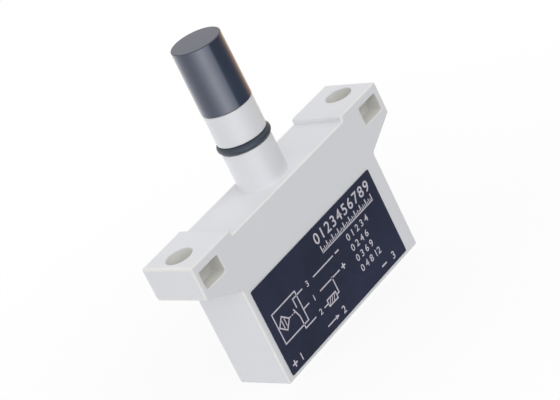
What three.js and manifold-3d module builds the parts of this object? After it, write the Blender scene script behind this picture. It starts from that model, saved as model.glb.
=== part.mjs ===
// An inductive proximity sensor: a flat T-shaped housing with two mounting ears, a round sensing
// tube with a sealing ring and a dark sensing cap, and three screw terminals in the open bottom.
//
// Millimetres, +Z up along the tube. The origin is the centre of the bottom rim, on the tube's axis.
// +X runs along the ears, and the rating label is on the front face, towards -Y.

import * as THREE from "three";
import { mergeVertices } from "three/addons/utils/BufferGeometryUtils.js";
import Module from "manifold-3d";

const wasm = await Module();
wasm.setup();

// ---------------------------------------------------------------- driving dimensions

const bodyWidth = 53; // lower body, along X
const bodyDepth = 15.2; // body and ears, along Y
const bodyHeight = 37; // bottom rim to the top between the ears
const earSpan = 72.5; // end of one ear to the end of the other
const padStep = 1.3; // how far the ear pads stand above the top
const padLength = 14.5; // each pad, inwards from the end of its ear
const earEndHeight = 8.3; // end face of an ear
const earRootDepth = 13; // pad top down to where the slanted underside meets the body
const edgeRound = 0.3; // front and back edges of the housing
const cornerRound = 0.8; // corners of the housing's outline, more than edgeRound

const earHoleDiameter = 6.35; // clears an M6 screw
const earHoleSpacing = 62.7;
const pocketWidth = 6.7; // blind pocket in the front of each ear
const pocketHeight = 4.4;
const pocketDepth = 4;
const pocketDrop = 4.3; // pad top down to the pocket's centre

const tubeDiameter = 12;
const tubeTop = 72.7; // bottom rim to the sensing face
const tubeTaper = 0.04; // the tube's radius lost between its foot and the cap
const capLength = 16.1;
const capWall = 0.8;
const capEndWall = 0.8;
const capEdge = 0.25; // chamfer round the sensing face
const capProud = 0.11; // the cap's lower edge stands this far outside the tube
const capDraft = 0.14; // the cap's radius lost from its lower edge to its end
const spigotLength = 5.6; // reduced end of the tube, inside the cap

const ringHeight = 47.6; // bottom rim to the sealing ring's middle
const ringSection = 1.9;
const ringStandOut = 0.5; // the ring outside the tube's surface
const grooveWall = 0.7; // tube wall left under the ring groove

const frontWall = 1.5; // lower, thinner part of the housing's front and back walls
const endWall = 1.6;
const topWall = 1.8;
const ledge = 0.8; // inward step that the terminal block seats against

const labelWidth = 47;
const labelHeight = 22.6;
const labelThickness = 0.2;
const labelRise = 1.1; // bottom rim to the label's lower edge
const labelShift = -1.25; // label centre off the tube's axis

const blockFloor = 3.8; // thickness of the terminal block between the bays and the board
const blockRim = 0.4; // the block's ribs stop this far inside the bottom rim
const blockEndWall = 1.2;
const bayRib = 1.4;
const bayDepth = 9.8; // from the ends of the ribs up to the bay's floor
const lugReach = 0.5; // snap lug on each end of the block
const lugHeight = 1.6;
const lugWidth = 4;
const lugRise = 3;

const stripWidth = 8; // brass terminal strip, square base
const stripThickness = 1.2;
const tailWidth = 2.5;
const tailThickness = 0.8;
const tailInset = 0.6; // strip's edge to the back of its tail
const tailOverlap = 4.4; // tail soldered against the board

const screwDiameter = 2.9; // M3
const screwShank = 5;
const screwHeadDiameter = 5.6;
const screwHeadHeight = 2.1;
const screwChamfer = 0.3;
const screwSlotWidth = 0.8;
const screwSlotDepth = 1;
const screwCrossLength = 3.5; // the slot's short cross
const clampLength = 7.2; // clamp plate, along Y
const clampThickness = 1.2;
const clampLip = 0.65; // turned-up lips beside the strip
const clampLipHeight = 0.8;

const boardThickness = 1;
const boardBaseHeight = 18;
const boardClearance = 0.6; // terminal block up to the board
const tongueClearance = 0.5; // tube's bore to the corners of the tongue
const boardBelowCore = 3; // upper end of the tongue below the pot core

const coreWindow = 1.49; // pot core: room for the coil between the post and the wall
const coreWall = 0.9;
const coreFloor = 0.9;
const coreHeight = 2.7;
const carrierWall = 0.35; // sleeve of the core carrier beside the core
const carrierFloor = 1.1;
const bobbinWall = 0.3;
const pinRadius = 0.25;
const pinOverlap = 2.2; // coil pin soldered against the board
const resinBelowTongue = 5.8; // upper end of the tube's resin below the tongue's end
const tuningBelowTongue = 2.6; // middle of the tuning capacitor below the tongue's end
const tuningSize = [1.3, 2, 0.9]; // tuning capacitor along X and Z, and off the board
const componentRows = 9; // spacing of the two rows of components on the board
const legWidth = 0.4;
const legReach = 0.9; // chip's legs beyond its package
const legThickness = 0.25;
const legOverlap = 0.1;

const gap = 0.2; // clearance between fitted pieces
const closeGap = 0.1; // clearance between pieces that are pressed or screwed together
const roundSides = 48;
const screwSides = 24;
const pinSides = 12;

// ---------------------------------------------------------------- derived places

const padTop = bodyHeight + padStep;
const earTipX = earSpan / 2;
const bodyX = bodyWidth / 2;
const faceY = bodyDepth / 2;
const earHoleX = earHoleSpacing / 2;

const tubeR = tubeDiameter / 2;
const capFoot = tubeTop - capLength;
const grooveR = tubeR + ringStandOut - ringSection - closeGap;
const boreR = grooveR - grooveWall;
const capR = tubeR - tubeTaper + capProud;
const capBoreR = capR - capDraft - capWall;
const spigotR = capBoreR - gap;
const spigotTop = capFoot + spigotLength;
const capCeiling = tubeTop - capEndWall;

const blockTop = blockRim + bayDepth + blockFloor;
const bayCeiling = blockRim + bayDepth;
const wellX = bodyX - endWall;
const wellY = faceY - frontWall;
const blockX = wellX - gap;
const blockY = wellY - gap;
const innerX = wellX - ledge;
const innerY = wellY - ledge;
const cavityTop = bodyHeight - topWall;

const bayWidth = (2 * (blockX - blockEndWall) - 2 * bayRib) / 3;
const bayPitch = bayWidth + bayRib;
const bays = [-bayPitch, 0, bayPitch];

const stripFoot = bayCeiling - stripThickness;
const tailBackY = stripWidth / 2 - tailInset;
const clampTop = stripFoot - closeGap;
const clampFoot = clampTop - clampThickness;
const screwSeat = clampFoot - closeGap;
const screwTip = screwSeat + screwShank;
const holeR = screwDiameter / 2 + closeGap;

const boardFoot = blockTop + boardClearance;
const boardX = innerX - gap;
const boardBackY = boardThickness / 2;
const tongueX = Math.sqrt((boreR - tongueClearance) ** 2 - boardBackY ** 2);

const carrierR = capBoreR - gap;
const carrierFoot = spigotTop + gap;
const coreR = carrierR - carrierWall - gap;
const coreTop = capCeiling - gap;
const coreFoot = coreTop - coreHeight;
const coreInnerR = coreR - coreWall;
const corePost = coreInnerR - coreWindow;
const boardTongueTop = coreFoot - boardBelowCore;
const bobbinFoot = coreFoot + coreFloor + closeGap;
const pinY = boardBackY + gap + pinRadius;
const pinX = Math.sqrt(((corePost + coreInnerR) / 2) ** 2 - pinY ** 2);

// ---------------------------------------------------------------- solids

// A closed three.js geometry as a solid: shared corners merged, collapsed triangles left out.
function solid(geometry) {
  const bare = geometry.index ? geometry.toNonIndexed() : geometry.clone();
  bare.deleteAttribute("normal");
  bare.deleteAttribute("uv");
  const merged = mergeVertices(bare, 1e-4);
  const index = merged.index.array;
  const kept = [];
  for (let i = 0; i < index.length; i += 3) {
    const [a, b, c] = index.slice(i, i + 3);
    if (a !== b && b !== c && c !== a) kept.push(a, b, c);
  }
  return new wasm.Manifold(
    new wasm.Mesh({
      numProp: 3,
      vertProperties: merged.attributes.position.array,
      triVerts: new Uint32Array(kept),
    }),
  );
}

function geometryOf(body) {
  const { vertProperties, triVerts } = body.getMesh();
  const geometry = new THREE.BufferGeometry();
  geometry.setAttribute("position", new THREE.BufferAttribute(vertProperties, 3));
  geometry.setIndex(new THREE.BufferAttribute(triVerts, 1));
  geometry.computeVertexNormals();
  return geometry;
}

function box([x0, x1], [y0, y1], [z0, z1]) {
  const geometry = new THREE.BoxGeometry(x1 - x0, y1 - y0, z1 - z0);
  return solid(geometry.translate((x0 + x1) / 2, (y0 + y1) / 2, (z0 + z1) / 2));
}

function upright(radius, [z0, z1], x = 0, y = 0, sides = roundSides) {
  const geometry = new THREE.CylinderGeometry(radius, radius, z1 - z0, sides);
  return solid(geometry.rotateX(Math.PI / 2).translate(x, y, (z0 + z1) / 2));
}

// Turns a closed outline of [radius, height] points, listed anticlockwise, about the Z axis.
function turned(points, x = 0, sides = roundSides) {
  const outline = [...points, points[0]].map(([r, z]) => new THREE.Vector2(r, z));
  return solid(new THREE.LatheGeometry(outline, sides).rotateX(Math.PI / 2).translate(x, 0, 0));
}

// A closed shape from corner points, each corner rounded by up to the given radius.
function roundedShape(corners, radius) {
  const shape = new THREE.Shape();
  const points = corners.map(([x, y]) => new THREE.Vector2(x, y));
  points.forEach((corner, i) => {
    const before = points.at(i - 1);
    const after = points[(i + 1) % points.length];
    const r = Math.min(radius, corner.distanceTo(before) / 2.2, corner.distanceTo(after) / 2.2);
    const start = before.clone().sub(corner).setLength(r).add(corner);
    const end = after.clone().sub(corner).setLength(r).add(corner);
    if (i === 0) shape.moveTo(start.x, start.y);
    else shape.lineTo(start.x, start.y);
    shape.quadraticCurveTo(corner.x, corner.y, end.x, end.y);
  });
  shape.closePath();
  return shape;
}

// Extrudes a shape drawn in X and Z along Y, with its front and back edges rounded.
function slab(shape, [y0, y1], round = 0) {
  const geometry = new THREE.ExtrudeGeometry(shape, {
    depth: y1 - y0 - 2 * round,
    curveSegments: 3,
    bevelEnabled: round > 0,
    bevelThickness: round,
    bevelSize: round,
    bevelOffset: -round,
    bevelSegments: 2,
  });
  return solid(geometry.translate(0, 0, round).rotateX(Math.PI / 2).translate(0, y1, 0));
}

function plainShape(corners) {
  return new THREE.Shape(corners.map(([x, y]) => new THREE.Vector2(x, y)));
}

const union = (...bodies) => bodies.reduce((whole, body) => whole.add(body));
const cut = (body, ...tools) => tools.reduce((left, tool) => left.subtract(tool), body);
const mirrorX = (corners) => [...corners, ...corners.map(([x, z]) => [-x, z]).reverse()];

// ---------------------------------------------------------------- materials

const finish = (color, roughness, metalness = 0) =>
  new THREE.MeshStandardMaterial({ color, roughness, metalness });
const ivory = finish(0xd6d8db, 0.55);
const slate = finish(0x565b66, 0.35);
const rubber = finish(0x3f454e, 0.5);
const navy = finish(0x262a3a, 0.45);
const charcoal = finish(0x2f3134, 0.5);
const brass = finish(0xc9a45a, 0.35, 0.9);
const steel = finish(0xb9bcc0, 0.3, 0.95);
const laminate = finish(0x2f6b45, 0.55);
const ferrite = finish(0x3a3c3f, 0.7);
const copper = finish(0xb87333, 0.4, 0.8);
const resin = finish(0x1d1f22, 0.3);
const natural = finish(0xe4dfd0, 0.5);
const ceramic = finish(0xb08d62, 0.6);
const epoxy = finish(0x202224, 0.5);

const sensor = new THREE.Group();
sensor.name = "proximity_sensor";

function piece(name, body, material, parent = sensor) {
  const mesh = new THREE.Mesh(geometryOf(body), material);
  mesh.name = name;
  parent.add(mesh);
  return mesh;
}

// ---------------------------------------------------------------- housing, cap, ring, label

// The outline of body and ears, seen from the front.
function housingBlank() {
  const right = [
    [bodyX, 0],
    [bodyX, padTop - earRootDepth],
    [earTipX, padTop - earEndHeight],
    [earTipX, padTop],
    [earTipX - padLength, padTop],
    [earTipX - padLength, bodyHeight],
  ];
  return slab(roundedShape(mirrorX(right), cornerRound), [-faceY, faceY], edgeRound);
}

// The moulded tube: foot, ring groove, shoulder under the cap, and the spigot inside the cap.
function tubeBlank() {
  const halfGroove = ringSection / 2 + closeGap;
  const upperR = tubeR - tubeTaper;
  return turned([
    [0, cavityTop],
    [tubeR, cavityTop],
    [tubeR, ringHeight - halfGroove],
    [grooveR, ringHeight - halfGroove],
    [grooveR, ringHeight + halfGroove],
    [upperR, ringHeight + halfGroove],
    [upperR, capFoot - closeGap],
    [spigotR, capFoot - closeGap],
    [spigotR, spigotTop],
    [0, spigotTop],
  ]);
}

function lugRecess(side) {
  const x = side * wellX;
  const depth = side * (lugReach + gap);
  return box(
    [Math.min(x, x + depth), Math.max(x, x + depth)],
    [-lugWidth / 2 - gap, lugWidth / 2 + gap],
    [lugRise - gap, lugRise + lugHeight + gap],
  );
}

function addHousing() {
  const overrun = 1;
  let body = union(housingBlank(), tubeBlank());
  body = cut(
    body,
    box([-wellX, wellX], [-wellY, wellY], [-overrun, blockTop + gap]),
    box([-innerX, innerX], [-innerY, innerY], [blockTop, cavityTop]),
    upright(boreR, [cavityTop - overrun, spigotTop + overrun]),
    lugRecess(-1),
    lugRecess(1),
  );
  for (const x of [-earHoleX, earHoleX]) {
    const pocketZ = padTop - pocketDrop;
    body = cut(
      body,
      upright(earHoleDiameter / 2, [0, padTop + overrun], x),
      box(
        [x - pocketWidth / 2, x + pocketWidth / 2],
        [-faceY - overrun, -faceY + pocketDepth],
        [pocketZ - pocketHeight / 2, pocketZ + pocketHeight / 2],
      ),
    );
  }
  piece("housing", body, ivory);
}

function addCap() {
  const body = turned([
    [capBoreR, capFoot],
    [capR, capFoot],
    [capR - capDraft, tubeTop - capEdge],
    [capR - capDraft - capEdge, tubeTop],
    [0, tubeTop],
    [0, capCeiling],
    [capBoreR, capCeiling],
  ]);
  piece("sensing_cap", body, slate);
}

function addRing() {
  const section = ringSection / 2;
  const torus = new THREE.TorusGeometry(tubeR + ringStandOut - section, section, 14, roundSides);
  piece("sealing_ring", solid(torus.translate(0, 0, ringHeight)), rubber);
}

function addLabel() {
  const half = labelWidth / 2;
  const body = box(
    [labelShift - half, labelShift + half],
    [-faceY - labelThickness, -faceY],
    [labelRise, labelRise + labelHeight],
  );
  piece("rating_label", body, navy);
}

// ---------------------------------------------------------------- terminals

function snapLug(side) {
  const inner = blockX - blockEndWall / 2;
  const profile = plainShape([
    [side * inner, lugRise],
    [side * (blockX + closeGap), lugRise],
    [side * (blockX + gap + lugReach), lugRise + lugHeight],
    [side * inner, lugRise + lugHeight],
  ]);
  return slab(profile, [-lugWidth / 2, lugWidth / 2]);
}

function addTerminalBlock() {
  const y = [-blockY, blockY];
  const rows = [
    box([-blockX, blockX], y, [bayCeiling, blockTop]),
    box([-blockX, -blockX + blockEndWall], y, [blockRim, bayCeiling]),
    box([blockX - blockEndWall, blockX], y, [blockRim, bayCeiling]),
    snapLug(-1),
    snapLug(1),
  ];
  for (const side of [-1, 1]) {
    const x = (side * bayPitch) / 2;
    rows.push(box([x - bayRib / 2, x + bayRib / 2], y, [blockRim, bayCeiling]));
  }
  let body = union(...rows);
  for (const x of bays) {
    body = cut(
      body,
      upright(holeR + gap, [bayCeiling - gap, screwTip + gap], x),
      box(
        [x - tailWidth / 2 - gap, x + tailWidth / 2 + gap],
        [tailBackY - tailThickness - gap, tailBackY + gap],
        [bayCeiling - gap, blockTop + gap],
      ),
    );
  }
  piece("terminal_block", body, charcoal);
}

// A square brass base with a threaded hole, and a cranked tail that rises to the board.
function terminalStrip(x) {
  const half = stripWidth / 2;
  const base = box([x - half, x + half], [-half, half], [stripFoot, bayCeiling]);
  const tail = [x - tailWidth / 2, x + tailWidth / 2];
  const bend = boardFoot + tailThickness;
  const tailFrontY = boardBackY;
  return union(
    cut(base, upright(holeR, [stripFoot - gap, bayCeiling + gap], x, 0, screwSides)),
    box(tail, [tailBackY - tailThickness, tailBackY], [stripFoot, bend]),
    box(tail, [tailFrontY, tailBackY], [bend - tailThickness, bend]),
    box(tail, [tailFrontY, tailFrontY + tailThickness], [bend - tailThickness, bend + tailOverlap]),
  );
}

// A channel-shaped plate whose lips keep it square to the strip while the screw turns.
function clampPlate(x) {
  const innerLip = stripWidth / 2 + gap;
  const outer = innerLip + clampLip;
  const profile = plainShape([
    [x - outer, clampFoot],
    [x + outer, clampFoot],
    [x + outer, clampTop + clampLipHeight],
    [x + innerLip, clampTop + clampLipHeight],
    [x + innerLip, clampTop],
    [x - innerLip, clampTop],
    [x - innerLip, clampTop + clampLipHeight],
    [x - outer, clampTop + clampLipHeight],
  ]);
  const plate = slab(profile, [-clampLength / 2, clampLength / 2]);
  return cut(plate, upright(holeR + closeGap, [clampFoot - gap, clampTop + gap], x, 0, screwSides));
}

// A cheese-head screw with a crossed slot, its head towards the open bottom.
function terminalScrew(x) {
  const headFoot = screwSeat - screwHeadHeight;
  const shankR = screwDiameter / 2;
  const headR = screwHeadDiameter / 2;
  const body = turned(
    [
      [0, headFoot],
      [headR - screwChamfer, headFoot],
      [headR, headFoot + screwChamfer],
      [headR, screwSeat],
      [shankR, screwSeat],
      [shankR, screwTip - screwChamfer],
      [shankR - screwChamfer, screwTip],
      [0, screwTip],
    ],
    x,
    screwSides,
  );
  const slot = [headFoot - screwSlotDepth, headFoot + screwSlotDepth];
  const narrow = screwSlotWidth / 2;
  const crossReach = screwCrossLength / 2;
  return cut(
    body,
    box([x - headR, x + headR], [-narrow, narrow], slot),
    box([x - narrow, x + narrow], [-crossReach, crossReach], slot),
  );
}

function addTerminals() {
  bays.forEach((x, i) => {
    piece(`terminal_strip_${i + 1}`, terminalStrip(x), brass);
    piece(`clamp_plate_${i + 1}`, clampPlate(x), steel);
    piece(`terminal_screw_${i + 1}`, terminalScrew(x), steel);
  });
}

// ---------------------------------------------------------------- sensing head

// A sleeve that sits on the spigot's end: the pot core drops into its top, the board into its slot.
function addCoreCarrier() {
  const slotX = tongueX + gap;
  const slotY = boardBackY + gap;
  const recessX = tuningSize[0] / 2 + gap;
  const recessY = -boardBackY - tuningSize[2] - gap;
  let body = turned([
    [0, carrierFoot],
    [carrierR, carrierFoot],
    [carrierR, coreTop],
    [carrierR - carrierWall, coreTop],
    [carrierR - carrierWall, coreFoot - closeGap],
    [0, coreFoot - closeGap],
  ]);
  const slotTop = boardTongueTop + gap;
  const below = carrierFoot - 1;
  body = cut(
    body,
    box([-slotX, slotX], [-slotY, slotY], [below, slotTop]),
    box([-recessX, recessX], [recessY, 0], [below, slotTop - carrierFloor]),
    ...[-pinX, pinX].map((x) => upright(pinRadius + gap, [below, tubeTop], x, pinY, pinSides)),
  );
  piece("core_carrier", body, natural);
}

function addPotCore() {
  const body = turned([
    [0, coreFoot],
    [coreR, coreFoot],
    [coreR, coreTop],
    [coreInnerR, coreTop],
    [coreInnerR, coreFoot + coreFloor],
    [corePost, coreFoot + coreFloor],
    [corePost, coreTop],
    [0, coreTop],
  ]);
  const pinHoles = [-pinX, pinX].map((x) =>
    upright(pinRadius + gap, [coreFoot - gap, coreFoot + coreFloor + gap], x, pinY, pinSides),
  );
  piece("pot_core", cut(body, ...pinHoles), ferrite);
}

function addCoil() {
  const innerR = corePost + closeGap;
  const flangeR = coreInnerR - closeGap;
  const hubR = innerR + bobbinWall;
  const top = coreTop;
  const body = turned([
    [innerR, bobbinFoot],
    [flangeR, bobbinFoot],
    [flangeR, bobbinFoot + bobbinWall],
    [hubR, bobbinFoot + bobbinWall],
    [hubR, top - bobbinWall],
    [flangeR, top - bobbinWall],
    [flangeR, top],
    [innerR, top],
  ]);
  piece("coil_bobbin", body, natural);
  const wound = [hubR + closeGap / 2, flangeR - closeGap];
  const height = [bobbinFoot + bobbinWall + closeGap / 2, top - bobbinWall - closeGap / 2];
  const winding = turned([
    [wound[0], height[0]],
    [wound[1], height[0]],
    [wound[1], height[1]],
    [wound[0], height[1]],
  ]);
  piece("coil_winding", winding, copper);
  [-pinX, pinX].forEach((x, i) => {
    const pin = upright(pinRadius, [boardTongueTop - pinOverlap, bobbinFoot - closeGap], x, pinY, pinSides);
    piece(`coil_pin_${i + 1}`, pin, copper);
  });
}

// Resin cast round the board's tongue inside the tube.
function addTubeResin() {
  const lower = bodyHeight;
  const upper = boardTongueTop - resinBelowTongue;
  const slotX = tongueX + closeGap;
  const slotY = boardBackY + closeGap;
  const body = cut(
    upright(boreR - closeGap, [lower, upper]),
    box([-slotX, slotX], [-slotY, slotY], [lower - gap, upper + gap]),
  );
  piece("tube_resin", body, resin);
}

// ---------------------------------------------------------------- circuit board

function addBoard() {
  const outline = plainShape(
    mirrorX([
      [boardX, boardFoot],
      [boardX, boardFoot + boardBaseHeight],
      [tongueX, boardFoot + boardBaseHeight],
      [tongueX, boardTongueTop],
    ]),
  );
  piece("circuit_board", slab(outline, [-boardBackY, boardBackY]), laminate);
}

// A chip package on the board's front, with the same number of bent legs on each long side.
function chip([width, height, thick], legs, [x, z]) {
  const front = -boardBackY;
  const parts = [
    box([x - width / 2, x + width / 2], [front - thick, front - legOverlap], [z - height / 2, z + height / 2]),
  ];
  for (const side of [-1, 1]) {
    for (let i = 0; i < legs; i++) {
      const across = x + (width / legs) * (i - (legs - 1) / 2);
      const far = z + side * (height / 2 + legReach);
      const near = z + side * (height / 2 - legOverlap);
      const span = [Math.min(far, near), Math.max(far, near)];
      parts.push(box([across - legWidth / 2, across + legWidth / 2], [front - legThickness, front], span));
    }
  }
  return union(...parts);
}

// A plain two-ended component lying on the board's front.
function block([width, height, thick], [x, z]) {
  const front = -boardBackY;
  return box([x - width / 2, x + width / 2], [front - thick, front], [z - height / 2, z + height / 2]);
}

function addComponents() {
  const middle = boardFoot + boardBaseHeight / 2;
  const upper = middle + componentRows / 2;
  const lower = middle - componentRows / 2;
  piece("oscillator_chip", chip([4.9, 3.9, 1.5], 4, [0, upper]), epoxy);
  piece("output_transistor", chip([6.5, 3.5, 1.7], 3, [bays[1], lower]), epoxy);
  piece("voltage_regulator", chip([4.5, 2.5, 1.5], 3, [bays[0] + 2, upper]), epoxy);
  piece("suppressor_diode", block([4.6, 3.6, 2.3], [bays[2], lower]), epoxy);
  piece("polarity_diode", block([4.5, 2.6, 2.2], [bays[0], lower]), epoxy);
  piece("supply_capacitor", block([3.2, 2.5, 1.8], [bays[0] + 7, lower]), ceramic);
  piece("smoothing_capacitor", block([3.2, 1.6, 1.2], [bays[0] + 8, upper]), ceramic);
  piece("tuning_capacitor", block(tuningSize, [0, boardTongueTop - tuningBelowTongue]), ceramic);
  for (let i = 0; i < 3; i++) {
    piece(`resistor_${i + 1}`, block([2, 1.25, 0.6], [bays[2] - 7 + 4 * i, upper]), epoxy);
  }
}

addHousing();
addCap();
addRing();
addLabel();
addTerminalBlock();
addTerminals();
addCoreCarrier();
addPotCore();
addCoil();
addTubeResin();
addBoard();
addComponents();

export default sensor;
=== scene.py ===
"""A flat T-shaped inductive proximity sensor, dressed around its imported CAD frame.

The sensor stands on its bottom rim with its sensing tube up, as in the CAD. Shapes are drawn in
millimetres in the CAD's frame, and new_object turns them into metres. The camera's place and the
floor's fade are given in metres.
"""

import math

import bmesh
import bpy
from mathutils import Matrix, Vector


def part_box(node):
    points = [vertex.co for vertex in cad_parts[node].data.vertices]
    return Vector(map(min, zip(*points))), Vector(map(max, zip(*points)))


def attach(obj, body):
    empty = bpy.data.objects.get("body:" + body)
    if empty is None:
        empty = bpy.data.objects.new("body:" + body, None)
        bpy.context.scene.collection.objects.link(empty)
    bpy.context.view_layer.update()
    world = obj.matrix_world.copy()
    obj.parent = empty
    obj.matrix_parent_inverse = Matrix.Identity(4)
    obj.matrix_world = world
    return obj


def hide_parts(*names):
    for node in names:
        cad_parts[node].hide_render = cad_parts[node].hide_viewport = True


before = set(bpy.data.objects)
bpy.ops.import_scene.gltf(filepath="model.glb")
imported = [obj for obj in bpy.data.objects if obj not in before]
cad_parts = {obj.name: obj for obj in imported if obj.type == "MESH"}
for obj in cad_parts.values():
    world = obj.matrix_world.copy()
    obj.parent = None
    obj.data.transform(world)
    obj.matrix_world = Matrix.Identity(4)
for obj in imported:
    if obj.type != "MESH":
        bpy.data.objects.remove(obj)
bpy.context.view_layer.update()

MM = 0.001
ROOT = "sensor_body"


def node_box(name):
    """A CAD node's lowest and highest corner, in millimetres."""
    low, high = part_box(name)
    return low / MM, high / MM


# ---------------------------------------------------------------- sizes, in millimetres

HOUSING_HIGH = node_box("housing")[1]
CAP_LOW, CAP_HIGH = node_box("sensing_cap")
RING_LOW, RING_HIGH = node_box("sealing_ring")
LABEL_LOW, LABEL_HIGH = node_box("rating_label")

EAR_TIP = HOUSING_HIGH.x
FACE = HOUSING_HIGH.y
BODY_X = 26.5
BODY_TOP = 37.0
PAD_TOP = 38.3
PAD_LENGTH = 14.5
EAR_END = 8.3
EAR_ROOT = 13.0
CORNER = 0.6
STEP_FOOT = 0.15
RIM = 0.54  # stays under CORNER, or the housing's inset outline would cross itself

EAR_HOLE_X = 31.35
EAR_HOLE_R = 3.175
EAR_HOLE_FLARE = 0.28
EAR_HOLE_FOOT = 20  # under the ears, beside the body
POCKET_HALF = (3.35, 2.2)
POCKET_DEPTH = 4.0
POCKET_Z = PAD_TOP - 4.3
POCKET_CORNER = 0.45
POCKET_FLARE = 0.22
# The eased foot of a pocket, as (height over its floor, how much wider it is than the pocket).
POCKET_FOOT = ((0.25, 0), (0.07, -0.07), (0, -0.25))

TUBE_R = 6.0
TUBE_TAPER = 0.04
TUBE_FILLET = 0.3
GROOVE_HALF = 1.05
GROOVE_R = 4.5
GROOVE_LIP = 0.16
SPIGOT_R = 4.93
SPIGOT_EDGE = 0.2
CAP_GAP = 0.1
BORE_R = 3.8
BORE_FOOT = 34

WELL_HALF = (24.9, 6.1)
WELL_TOP = 14.2
WELL_CORNER = 0.5
WELL_FLARE = 0.25
CAVITY_HALF = (24.1, 5.3)
CAVITY_TOP = 35.2
LUG_HALF = (0.7, 2.2)
LUG_CORNER = 0.1
LUG_DEPTH = 0.2
LUG_HEIGHTS = (2.8, 4.8)

EASE = 0.3  # the middle of a concave or flared edge, as a share of its width
OVERCUT = 1  # how far a cutter runs past the face that it opens
OVERLAP = 0.5  # how far a cutter runs into the one beside it

RING_SIDES = 28
HEAD_HEIGHT = 2.1
SLOT_DEPTH = 1.0
SLOT_HALF = 0.4
THREAD_R = 1.45
THREAD_PITCH = 0.5
THREAD_DEPTH = 0.22

# ---------------------------------------------------------------- meshes

WELD = 1e-5
STRAIGHT = math.radians(179)  # corners more open than this stay as they are
SIDE_PER_ARC = 2.1  # a side is at least this many times as long as the radius of its arcs
MITRE = 0.3  # the least cosine that a mitred corner is worked out with


def new_object(bm, name):
    """The object made from a mesh drawn in millimetres, with its faces turned outwards."""
    bmesh.ops.remove_doubles(bm, verts=bm.verts, dist=WELD)
    bmesh.ops.recalc_face_normals(bm, faces=bm.faces)
    bmesh.ops.scale(bm, vec=(MM, MM, MM), verts=bm.verts)
    mesh = bpy.data.meshes.new(name)
    bm.to_mesh(mesh)
    bm.free()
    piece = bpy.data.objects.new(name, mesh)
    bpy.context.scene.collection.objects.link(piece)
    return piece


def round_corners(points, radius, steps=4):
    """A closed outline with its corners as arcs of up to that radius, or of one radius each."""
    corners = [Vector(p) for p in points]
    out = []
    for i, corner in enumerate(corners):
        before, after = corners[i - 1] - corner, corners[(i + 1) % len(corners)] - corner
        r = radius[i] if isinstance(radius, (list, tuple)) else radius
        r = min(r, before.length / SIDE_PER_ARC, after.length / SIDE_PER_ARC)
        opening = before.angle(after)
        if r <= 0 or opening > STRAIGHT:
            out.append(corner)
            continue
        a, b = before.normalized(), after.normalized()
        centre = corner + (a + b).normalized() * (r / math.cos(opening / 2))
        start, end, turn = corner + a * r - centre, corner + b * r - centre, math.pi - opening
        for k in range(steps + 1):
            from_start, to_end = math.sin(turn * (1 - k / steps)), math.sin(turn * k / steps)
            out.append(centre + (start * from_start + end * to_end) / math.sin(turn))
    return out


def inset(outline, distance):
    """The outline moved inwards by that distance; its points run anticlockwise."""
    out = []
    for i, point in enumerate(outline):
        into, onward = point - outline[i - 1], outline[(i + 1) % len(outline)] - point
        a = Vector((-into.y, into.x)).normalized()
        b = Vector((-onward.y, onward.x)).normalized()
        middle = (a + b).normalized()
        out.append(point + middle * (distance / max(MITRE, middle.dot(a))))
    return out


def loft(bm, loops):
    """One closed solid through loops of points, all with the same count."""
    rings = [[bm.verts.new(p) for p in loop] for loop in loops]
    for here, there in zip(rings, rings[1:]):
        for i in range(len(here)):
            j = (i + 1) % len(here)
            bm.faces.new((here[i], here[j], there[j], there[i]))
    bm.faces.new(rings[0])
    bm.faces.new(rings[-1])


def rounded_rectangle(half_x, half_y, radius, centre=(0, 0), steps=4):
    """A rounded rectangle's outline round its centre, anticlockwise."""
    x, y = centre
    corners = [
        (x - half_x, y - half_y),
        (x + half_x, y - half_y),
        (x + half_x, y + half_y),
        (x - half_x, y + half_y),
    ]
    return round_corners(corners, radius, steps)


def slab(bm, outline, y0, y1, rim, steps=4):
    """An outline in X and Z drawn out along Y, with its front and back rims rounded."""
    levels = []
    for k in range(steps + 1):
        turn = math.pi / 2 * k / steps
        levels.append((rim * (1 - math.sin(turn)), rim * (1 - math.cos(turn))))
    loops = [(inset(outline, inward), y0 + along) for inward, along in levels]
    loops += [(inset(outline, inward), y1 - along) for inward, along in reversed(levels)]
    loft(bm, [[(p.x, y, p.y) for p in loop] for loop, y in loops])


def lathe(bm, profile, segments=96, centre=(0, 0)):
    """A closed outline of (radius, height) points turned about an upright axis."""
    angles = [2 * math.pi * i / segments for i in range(segments)]
    rings = []
    for r, z in profile:
        around = angles if r > 0 else [0]
        rings.append(
            [
                bm.verts.new((centre[0] + r * math.cos(a), centre[1] + r * math.sin(a), z))
                for a in around
            ]
        )
    for here, there in zip(rings, rings[1:] + rings[:1]):
        if len(here) == len(there) == 1:
            continue
        for i in range(segments):
            j = (i + 1) % segments
            corners = [
                here[i % len(here)],
                here[j % len(here)],
                there[j % len(there)],
                there[i % len(there)],
            ]
            bm.faces.new(dict.fromkeys(corners))


def solid(draw, *args, name="cutter", **options):
    """The object that one of the drawing functions makes."""
    bm = bmesh.new()
    draw(bm, *args, **options)
    return new_object(bm, name)


def stack(half, radius, levels, centre=(0, 0), steps=4):
    """A cutter of level rounded rectangles, each given as (height, how much wider)."""
    loops = []
    for z, grow in levels:
        ring = rounded_rectangle(half[0] + grow, half[1] + grow, radius, centre, steps)
        loops.append([(p.x, p.y, z) for p in ring])
    return solid(loft, loops)


def mouth(flare):
    """An eased mouth from outside the face inwards, as (depth, how much wider)."""
    return [(-OVERCUT, flare), (0, flare), (flare * EASE, flare * EASE), (flare, 0)]


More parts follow.
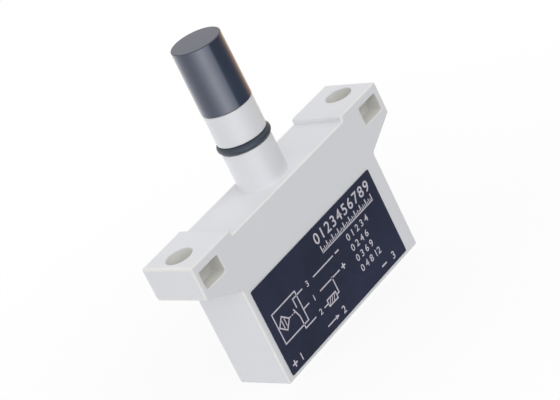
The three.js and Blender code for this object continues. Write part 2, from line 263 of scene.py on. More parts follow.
def combine(piece, tools, operation):
    """Joins tools to a piece or cuts them from it, and removes the tools."""
    for tool in tools:
        modifier = piece.modifiers.new("combine", "BOOLEAN")
        modifier.operation = operation
        modifier.solver = "EXACT"
        modifier.object = tool
    shaped = piece.evaluated_get(bpy.context.evaluated_depsgraph_get())
    mesh = bpy.data.meshes.new_from_object(shaped)
    piece.modifiers.clear()
    piece.data = mesh
    for tool in tools:
        bpy.data.objects.remove(tool)


def smooth(piece, angle=35):
    """Smooth shading that stays flat on the flat faces and breaks at the sharp edges."""
    piece.data.shade_smooth()
    piece.data.set_sharp_from_angle(angle=math.radians(angle))
    modifier = piece.modifiers.new("even_normals", "WEIGHTED_NORMAL")
    modifier.keep_sharp = True
    modifier.weight = 90
    return piece


def place(piece, body, slot, material, *nodes):
    """Gives a finished piece its body, its material and the CAD nodes it stands for. Its slot is
    not used.
    """
    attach(piece, body)
    if nodes:
        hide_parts(*nodes)
    piece.data.materials.clear()
    piece.data.materials.append(material)


# ---------------------------------------------------------------- materials

NOISE_MIDDLE = (0.3, 0.7)  # where most of a noise node's values lie


class Finish:
    """A procedural material built round one Principled shader."""

    def __init__(self, name, colour, roughness, metallic=0.0, ior=1.5, specular=0.5):
        self.material = bpy.data.materials.new(name)
        self.material.use_nodes = True
        self.tree = self.material.node_tree
        self.shader = self.tree.nodes["Principled BSDF"]
        self.set("Base Color", (*colour, 1))
        self.set("Roughness", roughness)
        self.set("Metallic", metallic)
        self.set("IOR", ior)
        self.set("Specular IOR Level", specular)
        self.colour = colour
        coordinates = self.tree.nodes.new("ShaderNodeTexCoord")
        self.place = coordinates.outputs["Object"]
        self.normal = None

    def set(self, socket, value):
        self.shader.inputs[socket].default_value = value

    def stretched(self, scale):
        """The object's coordinates, scaled along each axis."""
        mapping = self.tree.nodes.new("ShaderNodeMapping")
        mapping.inputs["Scale"].default_value = scale
        self.tree.links.new(self.place, mapping.inputs["Vector"])
        return mapping.outputs["Vector"]

    def noise(self, size, detail=3.0, stretch=None):
        """A noise value whose features are about that size in millimetres."""
        node = self.tree.nodes.new("ShaderNodeTexNoise")
        node.inputs["Scale"].default_value = 1 / (size * MM)
        node.inputs["Detail"].default_value = detail
        source = self.stretched(stretch) if stretch else self.place
        self.tree.links.new(source, node.inputs["Vector"])
        return node.outputs["Fac"]

    def spread(self, value, low, high):
        """The value moved from its usual middle range to low..high."""
        node = self.tree.nodes.new("ShaderNodeMapRange")
        node.inputs["From Min"].default_value = NOISE_MIDDLE[0]
        node.inputs["From Max"].default_value = NOISE_MIDDLE[1]
        node.inputs["To Min"].default_value = low
        node.inputs["To Max"].default_value = high
        self.tree.links.new(value, node.inputs["Value"])
        return node.outputs["Result"]

    def vary_colour(self, value, darker, lighter=None):
        """Base colour between two tones."""
        node = self.tree.nodes.new("ShaderNodeMix")
        node.data_type = "RGBA"
        node.inputs[6].default_value = (*darker, 1)
        node.inputs[7].default_value = (*(lighter or self.colour), 1)
        self.tree.links.new(self.spread(value, 0, 1), node.inputs[0])
        self.tree.links.new(node.outputs[2], self.shader.inputs["Base Color"])

    def vary_roughness(self, value, low, high):
        self.tree.links.new(self.spread(value, low, high), self.shader.inputs["Roughness"])

    def bump(self, value, depth):
        """Relief of that depth in millimetres, on top of any already there."""
        node = self.tree.nodes.new("ShaderNodeBump")
        node.inputs["Distance"].default_value = depth * MM
        self.tree.links.new(value, node.inputs["Height"])
        if self.normal:
            self.tree.links.new(self.normal, node.inputs["Normal"])
        self.normal = node.outputs["Normal"]
        self.tree.links.new(self.normal, self.shader.inputs["Normal"])


def tone(colour, factor):
    return tuple(c * factor for c in colour)


def moulded(name, colour, roughness, grain=0.25, depth=0.004, spread=0.97, **options):
    """Moulded plastic: a fine grain in millimetres, and a slow drift of tone and of gloss."""
    finish = Finish(name, colour, roughness, **options)
    finish.vary_colour(finish.noise(9), tone(colour, spread))
    finish.vary_roughness(finish.noise(3.5), roughness - 0.04, roughness + 0.05)
    finish.bump(finish.noise(6, detail=1), 0.02)
    finish.bump(finish.noise(grain, detail=4), depth)
    return finish


def metal(name, colour, roughness, brush, depth=0.002, dull=0.8):
    """Bright metal with fine drawing lines and a faint uneven tarnish."""
    finish = Finish(name, colour, roughness, metallic=1.0)
    finish.vary_colour(finish.noise(1.6, detail=5), tone(colour, dull))
    finish.vary_roughness(finish.noise(0.8, detail=4), roughness - 0.07, roughness + 0.1)
    finish.bump(finish.noise(0.12, stretch=brush), depth)
    return finish


ivory = moulded("ivory_plastic", (0.79, 0.797, 0.822), 0.43, depth=0.003, spread=0.985)
ivory.set("Subsurface Weight", 0.06)
ivory.set("Subsurface Radius", (1, 1, 1))
ivory.set("Subsurface Scale", 0.6 * MM)
ivory.bump(ivory.noise(1.3, detail=3), 0.01)

# A lighter, warmer tone of the ivory, painted on the housing's eased rims and ear corners as a
# painted highlight.
ivory_edge_highlight = moulded("ivory_edge_highlight", (0.85, 0.845, 0.82), 0.4, depth=0.003, spread=0.985)
# A darker, warmer tone of the ivory, painted inside the ears' holes and pockets as painted shade.
ivory_recess_shade = moulded("ivory_recess_shade", (0.73, 0.725, 0.695), 0.5, depth=0.003, spread=0.95)

slate = moulded("slate_plastic", (0.036, 0.046, 0.074), 0.2, depth=0.0012, spread=0.9, ior=1.6)
slate.bump(slate.noise(0.5, stretch=(1, 1, 0.04)), 0.0015)

rubber = moulded("seal_rubber", (0.03, 0.042, 0.06), 0.5, grain=0.12, depth=0.006, spread=0.85)

film = Finish("label_film", (0.019, 0.023, 0.05), 0.34)
film.vary_colour(film.noise(14, detail=1), (0.016, 0.02, 0.042), (0.022, 0.027, 0.06))
film.vary_roughness(film.noise(2, detail=5), 0.3, 0.4)
film.bump(film.noise(0.18, detail=3), 0.0015)

ink = Finish("label_ink", (0.64, 0.61, 0.68), 0.5)
ink.vary_colour(ink.noise(0.7, detail=4), (0.56, 0.53, 0.6), (0.68, 0.65, 0.72))
ink.bump(ink.noise(0.15), 0.002)

charcoal = moulded(
    "filled_nylon", (0.035, 0.036, 0.039), 0.5, grain=0.15, depth=0.008, spread=0.75
)
brass = metal("rolled_brass", (0.78, 0.56, 0.25), 0.3, (0.05, 1, 1))
zinc = metal("bright_zinc", (0.68, 0.69, 0.72), 0.27, (1, 1, 1), dull=0.88)
laminate = moulded(
    "green_laminate", (0.012, 0.12, 0.045), 0.35, grain=0.2, depth=0.006, spread=0.7
)
ferrite = moulded(
    "sintered_ferrite", (0.035, 0.034, 0.036), 0.7, grain=0.1, depth=0.012, spread=0.7
)
copper = metal("enamelled_copper", (0.72, 0.26, 0.11), 0.25, (1, 1, 0.3))
resin = moulded("cast_resin", (0.012, 0.012, 0.013), 0.18, grain=1.2, depth=0.01, spread=0.7)
natural = moulded("natural_nylon", (0.62, 0.58, 0.46), 0.5, depth=0.004, spread=0.94)
ceramic = moulded(
    "capacitor_ceramic", (0.36, 0.22, 0.1), 0.55, grain=0.08, depth=0.004, spread=0.85
)
epoxy = moulded("chip_epoxy", (0.014, 0.014, 0.015), 0.55, grain=0.08, depth=0.006, spread=0.7)

# ---------------------------------------------------------------- housing


def housing_outline():
    """Body and ears from the front, anticlockwise."""
    right = [
        (BODY_X, 0),
        (BODY_X, PAD_TOP - EAR_ROOT),
        (EAR_TIP, PAD_TOP - EAR_END),
        (EAR_TIP, PAD_TOP),
        (EAR_TIP - PAD_LENGTH, PAD_TOP),
        (EAR_TIP - PAD_LENGTH, BODY_TOP),
    ]
    radii = [CORNER] * 5 + [STEP_FOOT]
    left = [(-x, z) for x, z in reversed(right)]
    return round_corners(right + left, radii + radii[::-1])


def tube_profile():
    """The moulded tube, from inside the body up to the end of its spigot."""
    middle = (RING_LOW.z + RING_HIGH.z) / 2
    upper_r = TUBE_R - TUBE_TAPER
    shoulder = CAP_LOW.z - CAP_GAP
    points = [
        (0, CAVITY_TOP),
        (TUBE_R + TUBE_FILLET, CAVITY_TOP),
        (TUBE_R + TUBE_FILLET, BODY_TOP),
        (TUBE_R + TUBE_FILLET * EASE, BODY_TOP + TUBE_FILLET * EASE),
        (TUBE_R, BODY_TOP + TUBE_FILLET),
        (TUBE_R, middle - GROOVE_HALF),
        (GROOVE_R, middle - GROOVE_HALF),
        (GROOVE_R, middle + GROOVE_HALF),
        (upper_r, middle + GROOVE_HALF),
        (upper_r, shoulder),
        (SPIGOT_R, shoulder),
        (SPIGOT_R, HOUSING_HIGH.z),
        (0, HOUSING_HIGH.z),
    ]
    radii = [0] * 5 + [GROOVE_LIP, 0, 0, GROOVE_LIP, GROOVE_LIP, 0, SPIGOT_EDGE, 0]
    return round_corners(points, radii, 3)


def ear_hole(x):
    """The hole down through an ear, flared at its upper end."""
    wall = [(EAR_HOLE_R + grow, PAD_TOP - depth) for depth, grow in mouth(EAR_HOLE_FLARE)]
    profile = [(0, EAR_HOLE_FOOT), (EAR_HOLE_R, EAR_HOLE_FOOT), *reversed(wall)]
    profile.append((0, PAD_TOP + OVERCUT))
    return solid(lathe, profile, segments=64, centre=(x, 0))


def ear_pocket(x):
    """The blind pocket in the front of an ear, its mouth and its corners eased."""
    levels = mouth(POCKET_FLARE)
    levels += [(POCKET_DEPTH - height, grow) for height, grow in POCKET_FOOT]
    half_x, half_z = POCKET_HALF
    loops = []
    for depth, grow in levels:
        ring = rounded_rectangle(half_x + grow, half_z + grow, POCKET_CORNER, (x, POCKET_Z))
        loops.append([(p.x, -FACE + depth, p.y) for p in ring])
    return solid(loft, loops)


def well():
    """The open bottom that takes the terminal block."""
    return stack(WELL_HALF, WELL_CORNER, mouth(WELL_FLARE) + [(WELL_TOP, 0)])


def cavity():
    """The closed hollow over the well, round the circuit board."""
    return stack(CAVITY_HALF, WELL_CORNER, [(WELL_TOP - OVERLAP, 0), (CAVITY_TOP, 0)])


def lug_recess(side):
    """The recess in an end wall of the well that one of the terminal block's lugs snaps into."""
    levels = [(z, 0) for z in LUG_HEIGHTS]
    return stack(LUG_HALF, LUG_CORNER, levels, (side * (WELL_HALF[0] + LUG_DEPTH), 0))


def bore():
    """The hollow up through the tube and its spigot."""
    top = HOUSING_HIGH.z + OVERCUT
    return solid(lathe, [(0, BORE_FOOT), (BORE_R, BORE_FOOT), (BORE_R, top), (0, top)])


# Which faces get the painted highlight of an edge or the painted shade of a recess: limits on parts
# of a face's normal, and distances.
RIM_TURN = (0.2, 0.95)
CORNER_TURN = 0.12
LEVEL = 0.05
UPRIGHT = 0.3
NEAR_HOLE = 0.2
NEAR_POCKET = 0.1
PAST_MOUTH = 0.3


def on_edge(face):
    """Whether a face is on the housing's eased rims or on the outer corners of its ears, where a
    highlight is painted.
    """
    across, along, up = (abs(part) for part in face.normal)
    at_ear_tip = abs(face.center.x) > (EAR_TIP - CORNER) * MM
    on_rim = abs(face.center.y) > (FACE - RIM) * MM and RIM_TURN[0] < along < RIM_TURN[1]
    on_corner = at_ear_tip and along < LEVEL and across > CORNER_TURN and up > CORNER_TURN
    return on_rim or on_corner


def in_recess(face):
    """Whether a face of the housing is inside an ear's hole or its pocket, where shade is painted.
    """
    x, y, z = (part / MM for part in face.center)
    across, up, deep = abs(abs(x) - EAR_HOLE_X), abs(z - POCKET_Z), y + FACE
    from_hole = abs(math.hypot(across, y) - EAR_HOLE_R)
    in_hole = from_hole < NEAR_HOLE and abs(face.normal.z) < UPRIGHT
    beside = across < POCKET_HALF[0] + NEAR_POCKET and up < POCKET_HALF[1] + NEAR_POCKET
    in_pocket = beside and PAST_MOUTH < deep < POCKET_DEPTH + NEAR_POCKET
    return in_hole or in_pocket


def tint_index(face):
    """Which of the housing's materials a face has: the plain one, the painted highlight on its
    edges or the painted shade in its recesses.
    """
    if in_recess(face):
        return 2
    if on_edge(face):
        return 1
    return 0


def build_housing():
    """The moulding: block, ears and tube joined, and its hollows, holes and pockets cut out."""
    shell = solid(slab, housing_outline(), -FACE, FACE, RIM, name="housing_moulding")
    combine(shell, [solid(lathe, tube_profile(), segments=128)], "UNION")
    cuts = [well(), cavity(), bore(), lug_recess(-1), lug_recess(1)]
    for x in (-EAR_HOLE_X, EAR_HOLE_X):
        cuts += [ear_hole(x), ear_pocket(x)]
    combine(shell, cuts, "DIFFERENCE")
    place(smooth(shell), ROOT, "housing", ivory.material, "housing")
    # The rims and ear corners get a painted highlight, the holes and pockets painted shade.
    shell.data.materials.append(ivory_edge_highlight.material)
    shell.data.materials.append(ivory_recess_shade.material)
    for face in shell.data.polygons:
        face.material_index = tint_index(face)


# ---------------------------------------------------------------- cap and ring


def build_cap():
    """The sensing cap: a cup turned upside down, slightly narrower at its closed end."""
    wall, draft = 0.8, 0.14
    foot, top = CAP_LOW.z, CAP_HIGH.z
    outer = CAP_HIGH.x
    inner = outer - draft - wall
    profile = round_corners(
        [
            (inner, foot),
            (outer, foot),
            (outer - draft, top),
            (0, top),
            (0, top - wall),
            (inner, top - wall),
        ],
        [0.05, 0.14, 0.24, 0, 0, 0.3],
        4,
    )
    cap = solid(lathe, profile, segments=160, name="sensing_cap_shell")
    place(smooth(cap), ROOT, "cap", slate.material, "sensing_cap")


def build_ring():
    """The sealing ring, round in section."""
    section = (RING_HIGH.z - RING_LOW.z) / 2
    middle = (RING_LOW.z + RING_HIGH.z) / 2
    centre = RING_HIGH.x - section
    turns = [2 * math.pi * k / RING_SIDES for k in range(RING_SIDES)]
    profile = [(centre + section * math.cos(a), middle + section * math.sin(a)) for a in turns]
    ring = solid(lathe, profile, segments=128, name="o_ring")
    place(smooth(ring, 60), ROOT, "seal", rubber.material, "sealing_ring")


# ---------------------------------------------------------------- label

LINE = 0.32
STROKE_MITRE = 0.4
NUMERAL_SHARE = 0.73  # a numeral's height, as a share of its font size
NUMERAL_WEIGHT = 0.012  # how much a numeral is thickened, as a share of its height
# The print's Y, from just inside the label to just in front of it.
INK_BACK = LABEL_LOW.y + 0.01
INK_FRONT = LABEL_LOW.y - 0.02


def stroke(bm, points, width=LINE, closed=False):
    """A flat printed line through points in X and Z."""
    path = [Vector(p) for p in points]
    half = width / 2
    sides = []
    for i, point in enumerate(path):
        into = point - path[i - 1] if i or closed else path[1] - point
        last = i == len(path) - 1
        onward = path[(i + 1) % len(path)] - point if not last or closed else into
        a = Vector((-into.y, into.x)).normalized()
        b = Vector((-onward.y, onward.x)).normalized()
        middle = (a + b).normalized()
        reach = middle * (half / max(STROKE_MITRE, middle.dot(a)))
        sides.append((point + reach, point - reach))
    ends = []
    for left, right in sides:
        ends.append(
            [
                bm.verts.new((p.x, y, p.y))
                for p, y in (
                    (left, INK_FRONT),
                    (right, INK_FRONT),
                    (right, INK_BACK),
                    (left, INK_BACK),
                )
            ]
        )
    pairs = list(zip(ends, ends[1:] + ends[:1] if closed else ends[1:]))
    for here, there in pairs:
        for i in range(4):
            j = (i + 1) % 4
            bm.faces.new((here[i], here[j], there[j], there[i]))
    if not closed:
        bm.faces.new(ends[0])
        bm.faces.new(ends[-1])


def patch(bm, points):
    """A filled printed shape."""
    loft(bm, [[(x, y, z) for x, z in points] for y in (INK_FRONT, INK_BACK)])


def figure(bm, text, x, z, height, centred=False):
    """Plain printed numerals from the built-in font."""
    curve = bpy.data.curves.new("numeral", "FONT")
    curve.body = text
    curve.size = height / NUMERAL_SHARE
    curve.resolution_u = 6
    curve.extrude = (INK_BACK - INK_FRONT) / 2
    curve.offset = height * NUMERAL_WEIGHT
    curve.align_x = "CENTER" if centred else "LEFT"
    holder = bpy.data.objects.new("numeral", curve)
    bpy.context.scene.collection.objects.link(holder)
    shaped = holder.evaluated_get(bpy.context.evaluated_depsgraph_get())
    mesh = bpy.data.meshes.new_from_object(shaped)
    bpy.data.objects.remove(holder)
    depth = (INK_BACK + INK_FRONT) / 2
    for vertex in mesh.vertices:
        across, up, out = vertex.co
        vertex.co = (x + across, depth - out, z + up)
    bm.from_mesh(mesh)
    bpy.data.meshes.remove(mesh)


def plus(bm, x, z, reach=0.75):
    arm = LINE * 0.6
    patch(
        bm,
        [
            (x - arm, z - reach), (x + arm, z - reach), (x + arm, z - arm),
            (x + reach, z - arm), (x + reach, z + arm), (x + arm, z + arm),
            (x + arm, z + reach), (x - arm, z + reach), (x - arm, z + arm),
            (x - reach, z + arm), (x - reach, z - arm), (x - arm, z - arm),
        ],
    )


def minus(bm, x, z, reach=0.75):
    stroke(bm, [(x - reach, z), (x + reach, z)], LINE * 1.2)


def disc(bm, x, z, radius):
    sides = 20
    turns = [2 * math.pi * k / sides for k in range(sides)]
    patch(bm, [(x + radius * math.cos(a), z + radius * math.sin(a)) for a in turns])


def wiring_diagram(bm):
    """A generic three-wire sensor: its box, the sensing symbol, the switch and the load."""
    stroke(bm, [(-22.5, 8.1), (-13.6, 8.1), (-13.6, 15.9), (-22.5, 15.9)], closed=True)
    stroke(bm, [(-20.25, 13.9), (-18.4, 12.1), (-20.25, 10.3), (-22.1, 12.1)], closed=True)
    for shift in (-0.45, 0.45):
        stroke(bm, [(-20.25 + shift, 11.1), (-20.25 + shift, 13.1)], LINE * 0.8)
    for start in (-18.4, -17.55, -16.7):
        stroke(bm, [(start + 0.1, 12.1), (start + 0.6, 12.1)], LINE * 0.8)
    stroke(bm, [(-11.3, 14.8), (-15.1, 14.8), (-15.1, 12.5)])
    stroke(bm, [(-16.3, 12.9), (-15.35, 10.4), (-15.35, 7.1), (-11.3, 7.1)])
    stroke(bm, [(-13.45, 10.95), (-11.3, 10.95)])
    for text, z in (("3", 14.1), ("1", 10.2), ("2", 6.4)):
        figure(bm, text, -9.3, z, 1.5, centred=True)
    stroke(bm, [(-6.9, 14.8), (1.1, 14.8)])
    minus(bm, 2.7, 14.8)
    stroke(bm, [(-6.9, 10.95), (1.1, 10.95)])
    plus(bm, 2.6, 10.95)
    disc(bm, -2.0, 10.95, 0.36)
    stroke(bm, [(-2.0, 10.9), (-2.0, 7.1), (-2.95, 7.1)])
    stroke(bm, [(-6.3, 6.3), (-2.95, 6.3), (-2.95, 7.95), (-6.3, 7.95)], closed=True)
    for start in (-5.9, -5.1, -4.3):
        stroke(bm, [(start, 6.45), (start + 0.8, 7.8)], LINE * 0.7)
    stroke(bm, [(-7.9, 7.1), (-6.4, 7.1)])


def distance_scale(bm):
    """A plain ruler across the top right of the label: numerals over ticks."""
    first, last, count = -1.0, 19.4, 10
    foot, half_tick, quarter_tick = 17.2, 1.05, 0.75
    step = (last - first) / (count - 1)
    for i in range(count):
        x = first + step * i
        figure(bm, str(i), x, 19.7, 2.75, centred=True)
        stroke(bm, [(x, foot), (x, foot + 1.7)])
        if i < count - 1:
            for part in (0.25, 0.5, 0.75):
                tick = half_tick if part == 0.5 else quarter_tick
                here = x + step * part
                stroke(bm, [(here, foot), (here, foot + tick)], LINE * 0.7)
    stroke(bm, [(first - 0.15, foot - 0.05), (last + 0.15, foot - 0.05)], LINE * 0.8)


def terminal_marks(bm):
    """The terminals' signs and numerals along the lower edge, and a small table of numerals."""
    middle, arrow_half = 3.0, 0.55
    plus(bm, -22.7, middle, 0.85)
    stroke(bm, [(-9.4, middle), (-6.0, middle)])
    patch(bm, [(-6.1, middle - arrow_half), (-6.1, middle + arrow_half), (-4.9, middle)])
    minus(bm, 14.1, middle, 0.95)
    for text, x in (("1", -20.1), ("2", -2.9), ("3", 17.9)):
        figure(bm, text, x, 2.1, 1.9, centred=True)
    rows = (("0 1 2 3 4", 14.35), ("0 2 4 6", 11.55), ("0 3 6 9", 8.75), ("0 4 8 12", 5.95))
    for text, z in rows:
        figure(bm, text, 7.1, z, 1.75)


def build_label():
    """The label's film, and all its print as one piece."""
    half_x = (LABEL_HIGH.x - LABEL_LOW.x) / 2
    half_z = (LABEL_HIGH.z - LABEL_LOW.z) / 2
    middle = (LABEL_LOW + LABEL_HIGH) / 2
    outline = rounded_rectangle(half_x, half_z, 0.35, (middle.x, middle.z))
    plate = solid(slab, outline, LABEL_LOW.y, LABEL_HIGH.y - 0.005, 0.04, 2, name="label_plate")
    place(smooth(plate), ROOT, "label", film.material, "rating_label")
    bm = bmesh.new()
    wiring_diagram(bm)
    distance_scale(bm)
    terminal_marks(bm)
    place(new_object(bm, "label_print"), ROOT, "label", ink.material)


# ---------------------------------------------------------------- terminals


def softened(node, name, width, body, slot, material):
    """A CAD node's shape with its edges eased, standing for that node."""
    bm = bmesh.new()
    bm.from_mesh(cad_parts[node].data)
    bmesh.ops.scale(bm, vec=(1 / MM,) * 3, verts=bm.verts)
    bmesh.ops.remove_doubles(bm, verts=bm.verts, dist=1e-4)
    bmesh.ops.dissolve_limit(
        bm, angle_limit=math.radians(2), verts=bm.verts, edges=bm.edges, delimit=set()
    )
    piece = new_object(bm, name)
    bevel = piece.modifiers.new("eased_edges", "BEVEL")
    bevel.width = width * MM
    bevel.segments = 2
    bevel.limit_method = "ANGLE"
    bevel.angle_limit = math.radians(40)
    place(smooth(piece, 50), body, slot, material, node)


def screw_thread(bm, z0, z1, centre):
    """A closed shank with a helical ridge that fades at both ends."""
    around, per_pitch = 32, 8
    rows = int((z1 - z0) / THREAD_PITCH * per_pitch)
    loops = []
    for row in range(rows + 1):
        z = z0 + (z1 - z0) * row / rows
        fade = min(1.0, (z - z0) / THREAD_PITCH, (z1 - z) / THREAD_PITCH)
        loop = []
        for k in range(around):
            turn = k / around
            phase = (z / THREAD_PITCH - turn) % 1.0
            ridge = 1 - abs(2 * phase - 1)
            r = THREAD_R - THREAD_DEPTH * (1 - ridge * fade)
            angle = 2 * math.pi * turn
            loop.append((centre[0] + r * math.cos(angle), centre[1] + r * math.sin(angle), z))
        loops.append(loop)
    loft(bm, loops)


def build_screw(index):
    """A cheese-head terminal screw, head down, with crossed slots and a real thread."""
    node = f"terminal_screw_{index}"
    low, high = node_box(node)
    centre = ((low.x + high.x) / 2, (low.y + high.y) / 2)
    head_r = (high.x - low.x) / 2
    seat = low.z + HEAD_HEIGHT
    dish, edge, neck = 0.12, 0.25, 0.5
    profile = round_corners(
        [
            (0, low.z + dish),
            (head_r * 0.7, low.z),
            (head_r, low.z + edge),
            (head_r, seat),
            (1.42, seat),
            (1.2, seat + neck),
            (0, seat + neck),
        ],
        [0, 0.4, 0.25, 0.2, 0.1, 0, 0],
        3,
    )
    screw = solid(lathe, profile, segments=64, centre=centre, name=f"screw_{index}")
    flare = 0.1
    depths = ((-OVERCUT, flare), (0.08, flare), (0.2, 0), (SLOT_DEPTH, 0))
    levels = [(low.z + depth, grow) for depth, grow in depths]
    long_slot, cross_slot = (head_r + 0.5, SLOT_HALF), (SLOT_HALF, head_r * 0.62)
    slots = [stack(half, 0.06, levels, centre, 2) for half in (long_slot, cross_slot)]
    combine(screw, slots, "DIFFERENCE")
    thread = solid(screw_thread, seat + 0.2, high.z, centre)
    combine(screw, [thread], "UNION")
    place(smooth(screw, 30), f"screw_{index}", "steel", zinc.material, node)


def build_terminals():
    """The terminal block, and a strip, a clamp plate and a screw for each of its terminals."""
    softened("terminal_block", "terminal_carrier", 0.16, ROOT, "terminal_block", charcoal.material)
    for i in (1, 2, 3):
        softened(f"terminal_strip_{i}", f"contact_{i}", 0.1, ROOT, "brass", brass.material)
        clamp = f"clamp_{i}"
        softened(f"clamp_plate_{i}", f"{clamp}_plate", 0.12, clamp, "steel", zinc.material)
        build_screw(i)


# ---------------------------------------------------------------- pieces inside

INNER_FINISHES = {
    "core_carrier": natural,
    "pot_core": ferrite,
    "coil_bobbin": natural,
    "coil_winding": copper,
    "coil_pin_1": copper,
    "coil_pin_2": copper,
    "tube_resin": resin,
    "circuit_board": laminate,
    "oscillator_chip": epoxy,
    "output_transistor": epoxy,
    "voltage_regulator": epoxy,
    "suppressor_diode": epoxy,
    "polarity_diode": epoxy,
    "supply_capacitor": ceramic,
    "smoothing_capacitor": ceramic,
    "tuning_capacitor": ceramic,
    "resistor_1": epoxy,
    "resistor_2": epoxy,
    "resistor_3": epoxy,
}


def dress_inside():
    """Gives each CAD node that keeps its shape its own finish."""
    for node, finish in INNER_FINISHES.items():
        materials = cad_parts[node].data.materials
        if len(materials):
            for index in range(len(materials)):
                materials[index] = finish.material
        else:
            materials.append(finish.material)


# ---------------------------------------------------------------- stage

# The camera: angles in degrees, where it looks and from how far in metres, its lens in millimetres.
VIEW_AZIMUTH, VIEW_ELEVATION = -41.21, 23.59
VIEW_ROLL = 26.57
VIEW_DISTANCE = 0.55073
VIEW_TARGET = Vector((0.001366, 0.0, 0.029986))
LENS, SENSOR = 159.36, 36.0


def view_back():
    """Unit vector from what the camera looks at back to the camera."""
    a, e = math.radians(VIEW_AZIMUTH), math.radians(VIEW_ELEVATION)
    return Vector((math.sin(a) * math.cos(e), -math.cos(a) * math.cos(e), math.sin(e)))


def build_camera():
    """The photo's view, which is rolled."""
    back = view_back()
    level_right = (-back).cross(Vector((0, 0, 1))).normalized()
    level_up = level_right.cross(-back).normalized()
    roll = math.radians(VIEW_ROLL)
    up = level_up * math.cos(roll) + level_right * math.sin(roll)
    right = (-back).cross(up).normalized()
    data = bpy.data.cameras.new("view")
    data.lens, data.sensor_width = LENS, SENSOR
    data.clip_start, data.clip_end = 0.01, 20
    camera = bpy.data.objects.new("view", data)
    bpy.context.scene.collection.objects.link(camera)
    turned = Matrix((right, up, back)).transposed().to_4x4()
    turned.translation = VIEW_TARGET + back * VIEW_DISTANCE
    camera.matrix_world = turned
    bpy.context.scene.camera = camera


WHITE = (1, 1, 1, 1)
# What the studio shows to reflections, as (degrees round from behind the camera, colour).
STUDIO_BANDS = (
    (-180, (1.3, 1.1, 1.0)),
    (-150, (1.8, 1.8, 1.85)),
    (-125, (1.7, 1.72, 1.85)),
    (-98, (1.3, 1.35, 1.5)),
    (-72, (1.15, 1.2, 1.35)),
    (-52, (1.5, 1.55, 1.75)),
    (-34, (2.4, 2.5, 2.75)),
    (-17, (3.5, 3.6, 3.8)),
    (-7, (4.3, 4.35, 4.55)),
    (9, (3.7, 3.8, 4.1)),
    (26, (2.5, 2.65, 2.95)),
    (40, (1.8, 1.95, 2.2)),
    (45, (0.12, 0.15, 0.2)),
    (98, (0.12, 0.14, 0.18)),
    (112, (0.4, 0.3, 0.25)),
    (130, (0.95, 0.68, 0.5)),
    (152, (1.5, 1.1, 0.85)),
    (180, (1.3, 1.1, 1.0)),
)
BAND_PEAK = 5.0
# Over the bands reflections see a pale sky, and steeply below them a pale floor. Each gives way
# to the bands between two heights of a direction, which run from -1 to 1.
SKY_TINT = (1, 1, 1.03, 1)
SKY_GLOSS = 0.95
SKY_RISE = (-0.05, 0.25)
FLOOR_GLOSS = 0.75
FLOOR_RISE = (-0.72, -0.5)
AMBIENT = 0.28
# Soft lights of the sky, as (degrees round from behind the camera, elevation, level).
SOFT_LIGHTS = ((-4, 30, 1.55), (60, 45, 1.75), (-80, 12, 1.55), (180, 32, 1.2), (0, -90, 2.0))
SOFTNESS = 8.0


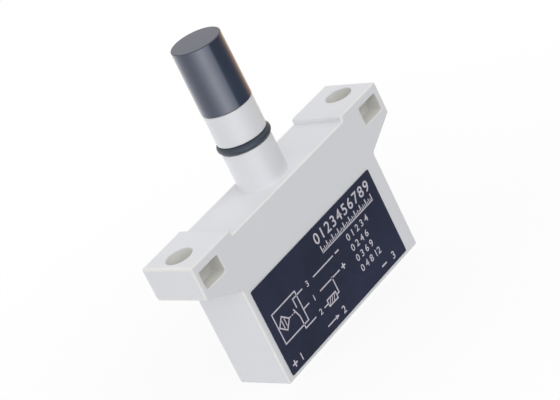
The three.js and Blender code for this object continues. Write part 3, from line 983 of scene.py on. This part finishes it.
def build_world():
    """White to the camera, soft lights on an even sky to diffuse light, bands to reflections."""
    world = bpy.data.worlds.new("studio")
    world.use_nodes = True
    bpy.context.scene.world = world
    tree = world.node_tree
    tree.nodes.clear()
    link = tree.links.new

    def math_node(operation, a, b=None):
        node = tree.nodes.new("ShaderNodeMath")
        node.operation = operation
        for socket, value in zip(node.inputs, (a, b)):
            if isinstance(value, (int, float)):
                socket.default_value = value
            elif value is not None:
                link(value, socket)
        return node.outputs[0]

    def dot(vector):
        node = tree.nodes.new("ShaderNodeVectorMath")
        node.operation = "DOT_PRODUCT"
        node.inputs[1].default_value = vector
        link(direction, node.inputs[0])
        return node.outputs["Value"]

    def rise(low, high):
        """A soft step from 0 to 1 as a direction's height goes from low to high."""
        node = tree.nodes.new("ShaderNodeMapRange")
        node.interpolation_type = "SMOOTHSTEP"
        node.inputs["From Min"].default_value = low
        node.inputs["From Max"].default_value = high
        link(dot((0, 0, 1)), node.inputs["Value"])
        return node.outputs["Result"]

    def background(colour, strength):
        node = tree.nodes.new("ShaderNodeBackground")
        for socket, value in (("Color", colour), ("Strength", strength)):
            if isinstance(value, bpy.types.NodeSocket):
                link(value, node.inputs[socket])
            else:
                node.inputs[socket].default_value = value
        return node.outputs[0]

    def mix(factor, a, b):
        node = tree.nodes.new("ShaderNodeMixShader")
        link(factor, node.inputs[0])
        link(a, node.inputs[1])
        link(b, node.inputs[2])
        return node.outputs[0]

    direction = tree.nodes.new("ShaderNodeTexCoord").outputs["Generated"]
    back = view_back()
    behind = Vector((back.x, back.y, 0)).normalized()
    side = Vector((-behind.y, behind.x, 0))
    angle = math_node("ARCTAN2", dot(side), dot(behind))
    ramp = tree.nodes.new("ShaderNodeValToRGB")
    stops = ramp.color_ramp.elements
    for index, (degrees, colour) in enumerate(STUDIO_BANDS):
        position = (degrees + 180) / 360
        stop = stops[index] if index < 2 else stops.new(position)
        stop.position = position
        stop.color = (*(c / BAND_PEAK for c in colour), 1)
    link(math_node("ADD", math_node("MULTIPLY", angle, 1 / (2 * math.pi)), 0.5), ramp.inputs[0])
    bands = background(ramp.outputs["Color"], BAND_PEAK)
    low = mix(rise(*FLOOR_RISE), background(WHITE, FLOOR_GLOSS), bands)
    glossy = mix(rise(*SKY_RISE), low, background(SKY_TINT, SKY_GLOSS))
    level = AMBIENT
    for around, elevation, strength in SOFT_LIGHTS:
        a, e = math.radians(around), math.radians(elevation)
        towards = (behind * math.cos(a) + side * math.sin(a)) * math.cos(e)
        towards.z = math.sin(e)
        facing = math_node("MAXIMUM", dot(towards), 0.0)
        lobe = math_node("MULTIPLY", math_node("POWER", facing, SOFTNESS), strength)
        level = math_node("ADD", lobe, level)
    sky = background(WHITE, level)
    rays = tree.nodes.new("ShaderNodeLightPath")
    lit = mix(rays.outputs["Is Glossy Ray"], sky, glossy)
    seen = mix(rays.outputs["Is Camera Ray"], lit, background(WHITE, 1.0))
    output = tree.nodes.new("ShaderNodeOutputWorld")
    link(seen, output.inputs["Surface"])


FLOOR_HALF = 1500
FLOOR_DROP = 0.05
# How much of the floor glows white, near the sensor and far off, and how near and far in metres.
FLOOR_GLOW = (0.86, 1.0)
FLOOR_FADE = (0.03, 0.14)


def build_floor():
    """A white floor with only a faint shadow, which is clear when seen from below."""
    bm = bmesh.new()
    bmesh.ops.create_grid(bm, x_segments=1, y_segments=1, size=FLOOR_HALF)
    floor = new_object(bm, "floor")
    if floor.data.polygons[0].normal.z < 0:
        floor.data.flip_normals()
    floor.location.z = -FLOOR_DROP * MM
    material = bpy.data.materials.new("white_floor")
    material.use_nodes = True
    tree = material.node_tree
    tree.nodes.clear()
    link = tree.links.new
    paper = tree.nodes.new("ShaderNodeBsdfDiffuse")
    paper.inputs["Color"].default_value = (0.95, 0.95, 0.95, 1)
    glow = tree.nodes.new("ShaderNodeEmission")
    glow.inputs["Color"].default_value = WHITE
    glow.inputs["Strength"].default_value = 1.0
    coordinates = tree.nodes.new("ShaderNodeTexCoord")
    reach = tree.nodes.new("ShaderNodeVectorMath")
    reach.operation = "LENGTH"
    link(coordinates.outputs["Object"], reach.inputs[0])
    fade = tree.nodes.new("ShaderNodeMapRange")
    fade.inputs["From Min"].default_value = FLOOR_FADE[0]
    fade.inputs["From Max"].default_value = FLOOR_FADE[1]
    fade.inputs["To Min"].default_value = FLOOR_GLOW[0]
    fade.inputs["To Max"].default_value = FLOOR_GLOW[1]
    link(reach.outputs["Value"], fade.inputs["Value"])
    seen = tree.nodes.new("ShaderNodeMixShader")
    link(fade.outputs["Result"], seen.inputs[0])
    link(paper.outputs[0], seen.inputs[1])
    link(glow.outputs[0], seen.inputs[2])
    geometry = tree.nodes.new("ShaderNodeNewGeometry")
    clear = tree.nodes.new("ShaderNodeBsdfTransparent")
    sided = tree.nodes.new("ShaderNodeMixShader")
    link(geometry.outputs["Backfacing"], sided.inputs[0])
    link(seen.outputs[0], sided.inputs[1])
    link(clear.outputs[0], sided.inputs[2])
    output = tree.nodes.new("ShaderNodeOutputMaterial")
    link(sided.outputs[0], output.inputs["Surface"])
    floor.data.materials.append(material)
    floor.visible_diffuse = floor.visible_glossy = False
    floor.visible_transmission = floor.visible_shadow = False


build_housing()
build_cap()
build_ring()
build_label()
build_terminals()
dress_inside()
build_world()
build_floor()
build_camera()

scene = bpy.context.scene
scene.view_settings.view_transform = "Standard"
